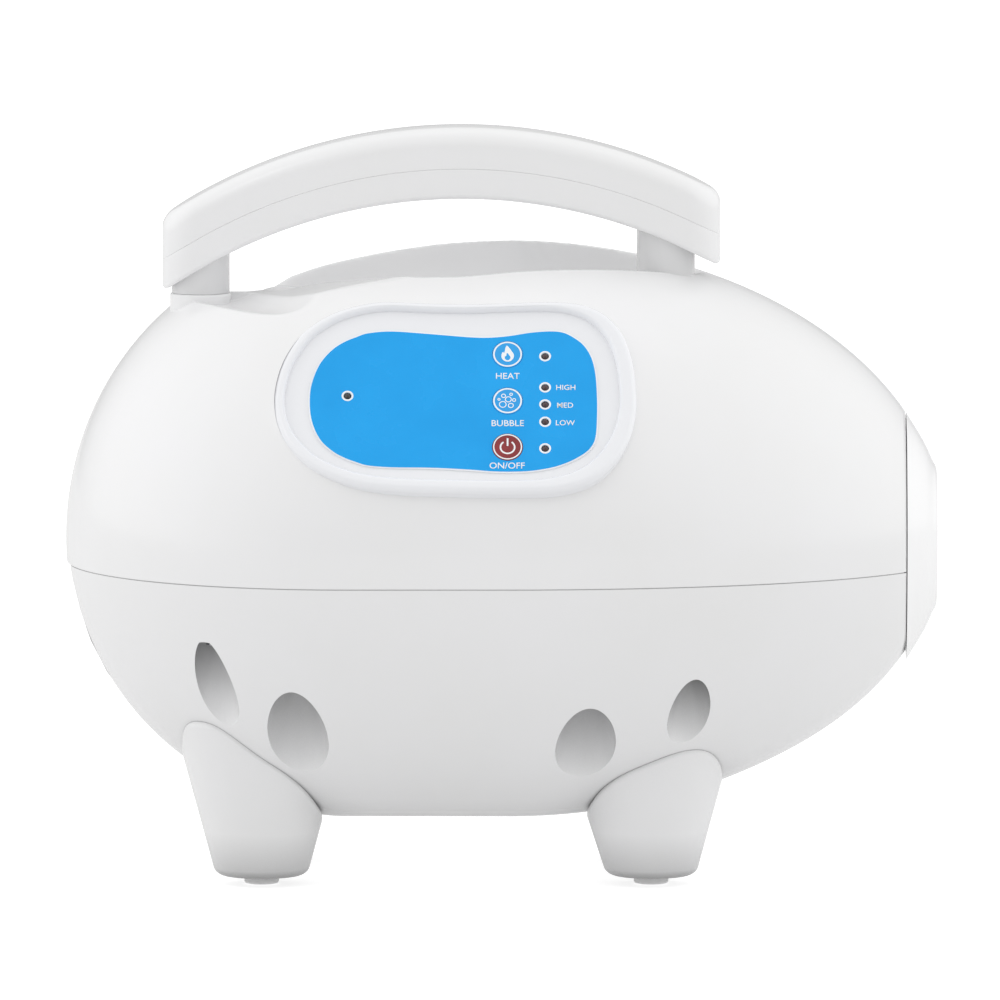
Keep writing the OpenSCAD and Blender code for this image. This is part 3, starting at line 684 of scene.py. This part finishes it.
# the seam shows as a shallow groove, with a tongue behind it
groove = block("groove", (-BIG, -BIG, SEAM_Z - SEAM_GAP / 2), (BIG, BIG, SEAM_Z + 3))
cut(groove, skin("groove_in", egg, stations(2.0, 3.0), turns(-60, 0, 1.2, 2.4), -GROOVE))
cut(shell_bottom, groove)
tongue = skin("tongue", egg, stations(3.0, 4.0), turns(195, 345, 2, 4), TONGUE[0])
cut(tongue, skin("tongue_in", egg, stations(3.0, 4.0), turns(195, 345, 2, 4), TONGUE[1]))
cut(tongue, below(SEAM_Z - 8))
cut(tongue, above(SEAM_Z + 4))
cut(tongue, past(150))
cut(tongue, block("tail_end", (-BIG, -BIG, -BIG), (-134, BIG, BIG)))

cut(shell_bottom, past(RING_X))
for x, y, rx, ry in WELLS:
    for side in (-1, 1):
        walls = [(0, 0), (0, WELL_Z - 1.2), (-1.2, WELL_Z)]
        cut(shell_bottom, oval("well", walls, x, side * y, rx, ry, 128))
for x, y in SCREWS:
    for side in (-1, 1):
        cut(shell_bottom, screw_hole(x, side * y, 90, 112, 2.3))
cut(shell_bottom, block("tail_opening", (-60, -16.8, -36.3), (30, 16.8, 36.3), TAIL_FRAME))
cut(shell_bottom, block("plug_in", (-35.6, 95, 74.4), (-4.4, 155, 95.6)))
cut(shell_bottom, block("plug_hole", (-32, 80, 77), (-8, 100, 93)))
shell_bottom = join("shell_bottom", [shell_bottom, tongue])
soften(shell_bottom)
wear(shell_bottom, "shell_grey_white", replaces=["lower_shell"])

# ---------- outlet ring ----------
RING_OUTSIDE = [(49.6, RING_X + 0.4), (45.7, 164.2), (41.2, 167), (36.2, 169.8), (30.9, 172.2),
                (28.4, 173.5), (27.2, 173.95), (25.6, 174.2)]
RING_INSIDE = [(20.6, 174.2), (19.7, 174.0), (19.2, 173.5), (19.0, 172.8), (19.0, 144.5), (18.4, 144.5),
               (18.4, 142.4), (16.0, 142.4), (16.0, 140), (21.4, 140), (21.4, 171.2), (39, 164.6),
               (40, 163), (40, 155), (42.4, 155), (42.4, RING_X + 0.4)]
a = np.linspace(0, 2 * math.pi, 192, endpoint=False)
rings = [np.stack([np.full(192, x), r * np.cos(a), AXIS_Z + r * np.sin(a)], 1)
         for r, x in [*smooth_run(RING_OUTSIDE, 8), *RING_INSIDE]]
wear(hoop("nose_ring", rings, 30), "ring_white", replaces=["outlet_ring"])

# ---------- legs ----------
RIM, HEEL, LEG_TOP = 3.4, 4.2, 66.5


def leg(x, r0, grow_x, grow_y, lean, side):
    """Rings from the foot up to the belly; the section gets squarer as it widens."""
    n, rows = 144, 40
    phi = np.linspace(0, 2 * math.pi, n, endpoint=False)
    c, d = np.cos(phi), np.sin(phi)

    def spot(t, inset=0.0):
        """A ring of points t above the foot, drawn in by the inset."""
        t = t + 0 * phi
        power = 2 + 0.6 * np.clip(t / 60, 0, 1.2)
        k = (np.abs(c) ** power + np.abs(d) ** power) ** (-1 / power)
        px = x + lean * t + (r0 + grow_x * t - inset) * k * c
        py = side * LEG_Y + (r0 + grow_y * t - inset) * k * d
        return np.stack([px, py, t + LEG_Z], -1)

    lo, hi = np.full(n, 6.0), np.full(n, 90.0)
    for _ in range(30):
        mid = (lo + hi) / 2
        p = spot(mid)
        free = (lower_field(p[:, 0], p[:, 1], p[:, 2]) > 0) & (p[:, 2] < 80)
        lo, hi = np.where(free, mid, lo), np.where(free, hi, mid)
    end = -3.5 * np.log(np.exp(-lo / 3.5) + math.exp(-LEG_TOP / 3.5))
    rings = [spot(0.0, r0 - 1.0), spot(0.0, HEEL + 1.5)]
    for a in np.linspace(0.15, math.pi / 2, 8):
        rings.append(spot(HEEL * (1 - math.cos(a)) * 0.8, HEEL * (1 - math.sin(a))))
    for k in np.linspace(0.04, 1, rows):
        rings.append(spot(HEEL * 0.8 + (end - RIM - HEEL * 0.8) * k))
    for a in np.linspace(0.12, 1.45, 9):
        rings.append(spot(end - RIM + RIM * math.sin(a), RIM * (1 - math.cos(a))))
    for inset, drop in ((6.0, -0.1), (11.0, -1.2), (18.0, -3.0)):
        rings.append(spot(end + drop, inset))
    return rings


legs = join("legs_moulded", [loft("leg", leg(*numbers, side), 40) for numbers in LEGS for side in (-1, 1)])
cut(legs, skin("belly", lower_field, stations(1.6, 2.0), turns(195, 345, 1.0, 4), 0.12))
for x, *_ in LEGS:
    for side in (-1, 1):
        cut(legs, turned("recess", [(7.6, -5), (7.6, 6.8)], (x, side * LEG_Y, 0), 64))
soften(legs)
wear(legs, "shell_grey_white", replaces=["legs"])

PAD = [(1.0, 0.5), (5.4, 0.0), (6.4, 0.25), (6.9, 0.9), (6.9, 2.4), (6.4, 3.0), (4.5, 3.1), (4.5, 6.6),
       (1.0, 6.7)]
pads = [turned("pad", PAD, (x, side * LEG_Y, 0), 64) for x, *_ in LEGS for side in (-1, 1)]
wear(join("foot_pads", pads), "rubber_grey", replaces=["leg_pads"])

# ---------- spring of the non-return valve ----------
COIL_X, COIL_LENGTH, COIL_R, COIL_TURNS, WIRE_R = 120.65, 6.5, 3.9, 4, 0.5


def coil_rings():
    phi = np.linspace(0, 2 * math.pi, 12, endpoint=False)[:, None]
    for t in np.linspace(0, 1, 220):
        a = 2 * COIL_TURNS * math.pi * t
        out = np.array([0, math.cos(a), math.sin(a)])
        along = np.array([1.9, -24.5 * math.sin(a), 24.5 * math.cos(a)])
        across = np.cross(along / np.linalg.norm(along), out)
        centre = np.array([COIL_X + COIL_LENGTH * t, 0, AXIS_Z]) + COIL_R * out
        yield centre + WIRE_R * (np.cos(phi) * out + np.sin(phi) * across)


coil = loft("valve_coil", list(coil_rings()), 40)
wear(coil, "spring_steel", replaces=["valve_spring"])
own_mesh(coil)

# ---------- posts ----------
# arcs of the grip, all centred over GRIP_X: radius and centre height
GRIP_X = -16.0
GRIP_LOW, GRIP_SPLIT, GRIP_HIGH = (207, 65.2), (211, 73.3), (215, 85.5)


def arc(x, radius, centre_z):
    """Height of a grip arc at x."""
    return centre_z + np.sqrt(np.maximum(radius**2 - (np.asarray(x) - GRIP_X) ** 2, 0))


def post(name, x, z0, node_name):
    """A hollow post from z0 up to the underside of the grip."""
    n = 128
    a = np.linspace(0, 2 * math.pi, n, endpoint=False)
    rings = []
    for r, h in ((2.6, 0.0), (11.2, 0.0), (11.5, 0.08), (POST_R, 0.3), (POST_R, None), (2.6, None)):
        px, py = x + r * np.cos(a), POST_Y + r * np.sin(a)
        z = np.full(n, z0 + h) if h is not None else arc(px, *GRIP_LOW) - 0.12
        rings.append(np.stack([px, py, z], 1))
    wear(loft(name, rings, 30), "post_white", replaces=[node_name])


post("post_near_tail", POST_LEFT, FLAT_Z + 0.03, "post_left")
post("post_near_nose", POST_RIGHT, 236.1, "post_right")

# ---------- grip ----------
GRIP_X0, GRIP_X1, GRIP_HALF, GRIP_TURN = -135.4, 87.4, 15.0, 14.0


def grip_stations():
    end = GRIP_TURN * (1 - np.cos(np.linspace(0.06, math.pi / 2, 26)))
    middle = np.linspace(GRIP_X0 + GRIP_TURN, GRIP_X1 - GRIP_TURN, 90)
    return np.concatenate([GRIP_X0 + end, middle[1:-1], (GRIP_X1 - end)[::-1]])


def grip_half(name, low, high, r_top, r_low, end_low, end_high, node_name):
    """One half of the grip between two arcs, with the radii of its long edges and of its ends."""
    rings = []
    for x in grip_stations():
        s = min(x - GRIP_X0, GRIP_X1 - x)
        w = GRIP_HALF - GRIP_TURN + math.sqrt(max(GRIP_TURN**2 - max(GRIP_TURN - s, 0) ** 2, 0))
        z0, z1 = float(arc(x, *low)), float(arc(x, *high))

        def lift(r):
            return r - math.sqrt(max(r * r - (r - min(s, r)) ** 2, 0)) if r else 0.0

        z0, z1 = z0 + lift(end_low), z1 - lift(end_high)
        a = min(r_top, w * 0.8, (z1 - z0) * 0.6)
        b = min(r_low, w * 0.8, (z1 - z0) * 0.35)
        pts = []
        for cy, cz, r, start in ((w - a, z1 - a, a, 0), (-(w - a), z1 - a, a, 1),
                                 (-(w - b), z0 + b, b, 2), (w - b, z0 + b, b, 3)):
            for q in np.linspace(0, math.pi / 2, 11):
                ang = start * math.pi / 2 + q
                pts.append((x, POST_Y + cy + r * math.cos(ang), cz + r * math.sin(ang)))
        rings.append(np.array(pts))
    wear(loft(name, rings, 40), "grip_white", replaces=[node_name])


grip_half("grip_cap", (GRIP_SPLIT[0], GRIP_SPLIT[1] + 0.01), GRIP_HIGH, 7.5, 0.3, 0.0, 4.0, "grip_upper")
grip_half("grip_base", GRIP_LOW, (GRIP_SPLIT[0], GRIP_SPLIT[1] - 0.01), 0.3, 2.2, 3.0, 0.0, "grip_lower")

# ---------- panel ----------
LABEL_TOP, LABEL_T, LIP_TOP = 3.5, 0.8, 5.3


def lip_round(r, n, start, stop):
    """Inset and rise along a quarter round of radius r."""
    return [(r * (1 - math.cos(a)), r * math.sin(a)) for a in np.linspace(start, stop, n)]


sections = [(outer_loop(2.4), -8.0), (outer_loop(0), -8.0)]
for d, up in lip_round(2.6, 10, 0, math.pi / 2):
    sections.append((outer_loop(d), LIP_TOP - 2.6 + up))
for d, up in lip_round(1.7, 9, math.pi / 2, 0):
    sections.append((inner_loop(d), LIP_TOP - 2.3 + 2.3 * up / 1.7))
sections += [(inner_loop(0), 0.2), (outer_loop(2.4), 0.2)]
lip = hoop("lip", [on_panel(loop[:, 0], loop[:, 1], n) for loop, n in sections], 40)
key_spots = [(KEY_S, t) for t in KEY_T]
led_spots = [(LED_S, t) for t in LED_T]
holes = [circle(s, t, KEY_R + 0.08) for s, t in key_spots]
holes += [circle(s, t, LED_R + 0.08, 24) for s, t in led_spots + [(IR_S, IR_T)]]
deck = panel_plate("deck", [inner_loop(0.6)] + holes, 0.2, LABEL_TOP - LABEL_T, 30)
wear(join("panel_frame", [lip, deck]), "bezel_white", replaces=["panel_bezel"])

LABEL = [(-58.2, -2.0), (-57.4, 6.5), (-54.2, 15.5), (-49.4, 21.9), (-44.6, 25.6), (-39.8, 27.9),
         (-35, 29.7), (-25.4, 30.6), (-10, 29.5), (5.8, 28.1), (14, 27.9), (21.8, 28.6), (30, 30.0),
         (37.4, 30.6), (42.5, 30.2), (46.6, 28.3), (51.4, 24.2), (54.6, 18.2), (56.2, 10.4),
         (56.8, 0.0), (56.8, -9.0), (56.2, -18), (54.4, -22.6), (51.4, -25.8), (46.6, -28.9),
         (42, -31.0), (37.4, -32.4), (30, -33.7), (21.8, -34.1), (14, -33.9), (5.8, -33.2),
         (-10, -32.3), (-25.4, -32.0), (-35, -31.1), (-39.8, -29.5), (-44.6, -27.4), (-49.4, -24.2),
         (-54.2, -18.8), (-57.3, -10.8)]
edge = smooth_loop(LABEL, 8)
centre = edge.mean(0)
label_rim = panel_plate("label_rim", [edge] + holes, LABEL_TOP - LABEL_T + 0.02, LABEL_TOP - 0.12, 30)
wear(label_rim, "print_white")
face = centre + (edge - centre) * (1 - 0.55 / np.linalg.norm(edge - centre, axis=1, keepdims=True))
label = panel_plate("label_sheet", [face] + holes, LABEL_TOP - 0.11, LABEL_TOP, 30)
wear(label, "label_blue", replaces=["panel_label"])


def panel_rings(profile, s, t, n):
    """Rings about the panel's normal; profile is [radius, height]."""
    a = np.linspace(0, 2 * math.pi, n, endpoint=False)
    return [on_panel(s + r * np.cos(a), t + r * np.sin(a), h) for r, h in profile]


KEY_TOP = 3.7
KEYS = (("heat", "key_blue"), ("bubble", "key_blue"), ("power", "key_red"))
CAP = [(0.6, -1.1), (2.0, -1.1), (2.0, 1.0), (KEY_R, 1.0), (KEY_R, KEY_TOP - 0.5),
       (KEY_R - 0.12, KEY_TOP - 0.2), (KEY_R - 0.45, KEY_TOP), (0.6, KEY_TOP)]
FLAME = [(-0.2, 4.2), (1.1, 2.6), (1.9, 1.3), (2.7, -0.2), (2.5, -2.0), (1.4, -3.3), (0, -3.7),
         (-1.5, -3.2), (-2.5, -1.9), (-2.6, -0.2), (-2.0, 1.1), (-1.5, 0.6), (-1.1, 1.9), (-0.9, 3.2)]
BUBBLES = ((-1.9, -1.7, 1.5), (1.3, -2.2, 1.15), (0.3, 0.6, 1.35), (2.6, 0.3, 0.8), (-1.6, 2.2, 0.95),
           (1.4, 2.9, 0.7), (-3.4, 0.6, 0.6))


def flame(s, t, k):
    return smooth_loop([(s + k * x, t + k * y) for x, y in FLAME], 4)


def arc_band(s, t, r0, r1, a0, a1, n=28):
    """Outline of a band between two radii, from angle a0 to a1 in degrees."""
    a = np.radians(np.linspace(a0, a1, n))
    out = np.stack([s + r1 * np.cos(a), t + r1 * np.sin(a)], 1)
    back = np.stack([s + r0 * np.cos(a[::-1]), t + r0 * np.sin(a[::-1])], 1)
    return np.vstack([out, back])


def marks(kind, s, t):
    """Outlines of a key's ring and symbol; each list is one flat mark, holes after its edge."""
    if kind == "power":
        stroke = np.array([(-0.35, 0.4), (0.35, 0.4), (0.35, 3.9), (-0.35, 3.9)]) + (s, t)
        return [[circle(s, t, 5.75, 64), circle(s, t, 5.25, 64)], [arc_band(s, t - 0.2, 2.5, 3.15, 125, 415)],
                [stroke]]
    ring = [circle(s, t, 5.7, 64), circle(s, t, 5.1, 64)]
    if kind == "heat":
        return [ring, [flame(s, t, 0.92), flame(s, t - 1.2, 0.42)]]
    return [ring] + [[circle(s + x, t + y, r, 32), circle(s + x, t + y, r - 0.34, 32)]
                     for x, y, r in BUBBLES]


for (kind, slot), t in zip(KEYS, KEY_T):
    body = f"{kind}_key_body"
    wear(loft(f"{kind}_cap", panel_rings(CAP, KEY_S, t, 96), 30), slot, body, [f"{kind}_key"])
    print_solids = [panel_plate("mark", loops, KEY_TOP - 0.02, KEY_TOP + 0.07)
                    for loops in marks(kind, KEY_S, t)]
    wear(join(f"{kind}_print", print_solids), "print_white", body)

DOME = [(0.05, -4.9), (1.47, -4.9), (1.47, 2.7), (1.35, 3.1), (1.0, 3.4), (0.5, 3.58), (0.05, 3.62)]
LED_RIM = [(1.6, 3.4), (2.35, 3.4), (2.35, 3.52), (2.2, 3.6), (1.75, 3.6), (1.6, 3.52)]
ir_spot = (IR_S, IR_T)
lenses = [loft("lens", panel_rings(DOME, *spot, 32)) for spot in led_spots]
wear(join("led_lenses", lenses), "led_red", replaces=["indicator_leds"])
wear(loft("receiver_lens", panel_rings(DOME, *ir_spot, 32)), "ir_black", replaces=["ir_window"])
rims = [hoop("rim", panel_rings(LED_RIM, *spot, 48)) for spot in led_spots + [ir_spot]]
wear(join("led_rims", rims), "print_white")

WORDS = (("HEAT", KEY_S, 9.7, 3.9), ("BUBBLE", KEY_S, -11.8, 3.9), ("ON/OFF", KEY_S - 0.2, -31.1, 3.9),
         ("HIGH", 43.9, 4.5, 3.3), ("MED", 43.6, -3.6, 3.3), ("LOW", 43.6, -11.6, 3.3))
PANEL_TURN = Matrix([(*(float(v[i]) for v in (PS, PT, PN)), 0) for i in range(3)] + [(0, 0, 0, 1)])


def word_solid(word, s, t, size):
    """Thin raised letters in Blender's own font."""
    cu = bpy.data.curves.new("word", "FONT")
    cu.body = word
    cu.size = size * MM
    cu.extrude = 0.04 * MM
    cu.resolution_u = 4
    cu.offset = 0.03 * MM
    cu.align_x, cu.align_y = "CENTER", "CENTER"
    ob = bpy.data.objects.new("word", cu)
    bpy.context.scene.collection.objects.link(ob)
    ob.matrix_world = PANEL_TURN
    ob.location = Vector(on_panel(s, t, np.float64(LABEL_TOP + 0.045)) * MM)
    bpy.context.view_layer.update()
    me = bpy.data.meshes.new_from_object(ob.evaluated_get(bpy.context.evaluated_depsgraph_get()))
    me.transform(ob.matrix_world)
    bpy.data.objects.remove(ob)
    solid = bpy.data.objects.new("word", me)
    bpy.context.scene.collection.objects.link(solid)
    return solid


words = join("key_words", [word_solid(*entry) for entry in WORDS])
weld = words.modifiers.new("weld", "WELD")
weld.merge_threshold = 1e-6
bake(words)
wear(words, "print_white")

# ---------- floor, light and camera ----------
world = bpy.data.worlds.new("studio")
bpy.context.scene.world = world
world.use_nodes = True
nt = world.node_tree
bg = nt.nodes["Background"]
out = nt.nodes["World Output"]
co = nt.nodes.new("ShaderNodeTexCoord")
sep = nt.nodes.new("ShaderNodeSeparateXYZ")
nt.links.new(co.outputs["Generated"], sep.inputs[0])


def calc(how, *values):
    """A math node whose inputs are numbers or other outputs."""
    n = nt.nodes.new("ShaderNodeMath")
    n.operation = how
    for i, v in enumerate(values):
        if isinstance(v, (int, float)):
            n.inputs[i].default_value = v
        else:
            nt.links.new(v, n.inputs[i])
    return n.outputs[0]


# soft light all round, brighter from both sides and from above; the camera sees plain white
SKY, SKY_SIDE, SKY_TOP = 0.45, 0.98, 0.45
sky = calc("MULTIPLY_ADD", calc("MULTIPLY", sep.outputs["X"], sep.outputs["X"]), SKY_SIDE, SKY)
sky = calc("MULTIPLY_ADD", calc("MAXIMUM", sep.outputs["Z"], 0.0), SKY_TOP, sky)
nt.links.new(sky, bg.inputs["Strength"])
bg.inputs["Color"].default_value = (1, 1, 1, 1)
seen = nt.nodes.new("ShaderNodeBackground")
seen.inputs["Color"].default_value = (1, 1, 1, 1)
seen.inputs["Strength"].default_value = 1.0
path = nt.nodes.new("ShaderNodeLightPath")
mix = nt.nodes.new("ShaderNodeMixShader")
nt.links.new(path.outputs["Is Camera Ray"], mix.inputs[0])
nt.links.new(bg.outputs[0], mix.inputs[1])
nt.links.new(seen.outputs[0], mix.inputs[2])
nt.links.new(mix.outputs[0], out.inputs["Surface"])

a = np.linspace(0, 2 * math.pi, 48, endpoint=False)
circles = [np.stack([r * np.cos(a), r * np.sin(a), 0 * a - 0.3], 1) for r in (40.0, 9000.0)]
floor = make("floor", np.vstack(circles), ring_faces(2, 48, close_end=False), False)
# the floor bounces soft light, and glows a little for the camera so that it reads as white
m = finish("floor_white", (0.5, 0.5, 0.5), (0.51, 0.51, 0.51), (0.8, 0.9), 3.0, 300.0, 0.02, specular=0.0)
ft = m.node_tree
glow = ft.nodes.new("ShaderNodeEmission")
ray = ft.nodes.new("ShaderNodeLightPath")
gain = ft.nodes.new("ShaderNodeMath")
gain.operation = "MULTIPLY_ADD"
gain.inputs[1].default_value = 0.45
gain.inputs[2].default_value = 0.32
ft.links.new(ray.outputs["Is Camera Ray"], gain.inputs[0])
ft.links.new(gain.outputs[0], glow.inputs["Strength"])
both = ft.nodes.new("ShaderNodeAddShader")
ft.links.new(ft.nodes["Principled BSDF"].outputs[0], both.inputs[0])
ft.links.new(glow.outputs[0], both.inputs[1])
ft.links.new(both.outputs[0], ft.nodes["Material Output"].inputs["Surface"])
floor.data.materials.append(m)


def area(name, at, aim, size, power):
    li = bpy.data.lights.new(name, "AREA")
    li.shape = "RECTANGLE"
    li.size = size
    li.size_y = size
    li.energy = power
    ob = bpy.data.objects.new(name, li)
    ob.location = at
    ob.rotation_euler = (Vector(aim) - Vector(at)).to_track_quat("-Z", "Y").to_euler()
    bpy.context.scene.collection.objects.link(ob)


area("key", (-0.9, -1.3, 2.0), (0, 0, 0.12), 0.5, 1.2)
area("top", (0.1, 0.1, 2.2), (0, 0, 0.15), 1.2, 1.2)

# a long lens: the picture is VIEW_WIDTH metres across at the object, EYE_DISTANCE metres away
ELEVATION, EYE_DISTANCE, VIEW_WIDTH = math.radians(5.7), 12.0, 0.4
cam = bpy.data.cameras.new("camera")
cam.sensor_width = 36.0
cam.lens = cam.sensor_width * EYE_DISTANCE / VIEW_WIDTH
cam.clip_end = 60.0
eye = bpy.data.objects.new("camera", cam)
look = Vector((-0.0006, 0.0, 0.1491))
eye.location = look + EYE_DISTANCE * Vector((0, -math.cos(ELEVATION), math.sin(ELEVATION)))
eye.rotation_euler = (math.pi / 2 - ELEVATION, 0, 0)
bpy.context.scene.collection.objects.link(eye)
bpy.context.scene.camera = eye
bpy.context.scene.view_settings.view_transform = "Standard"
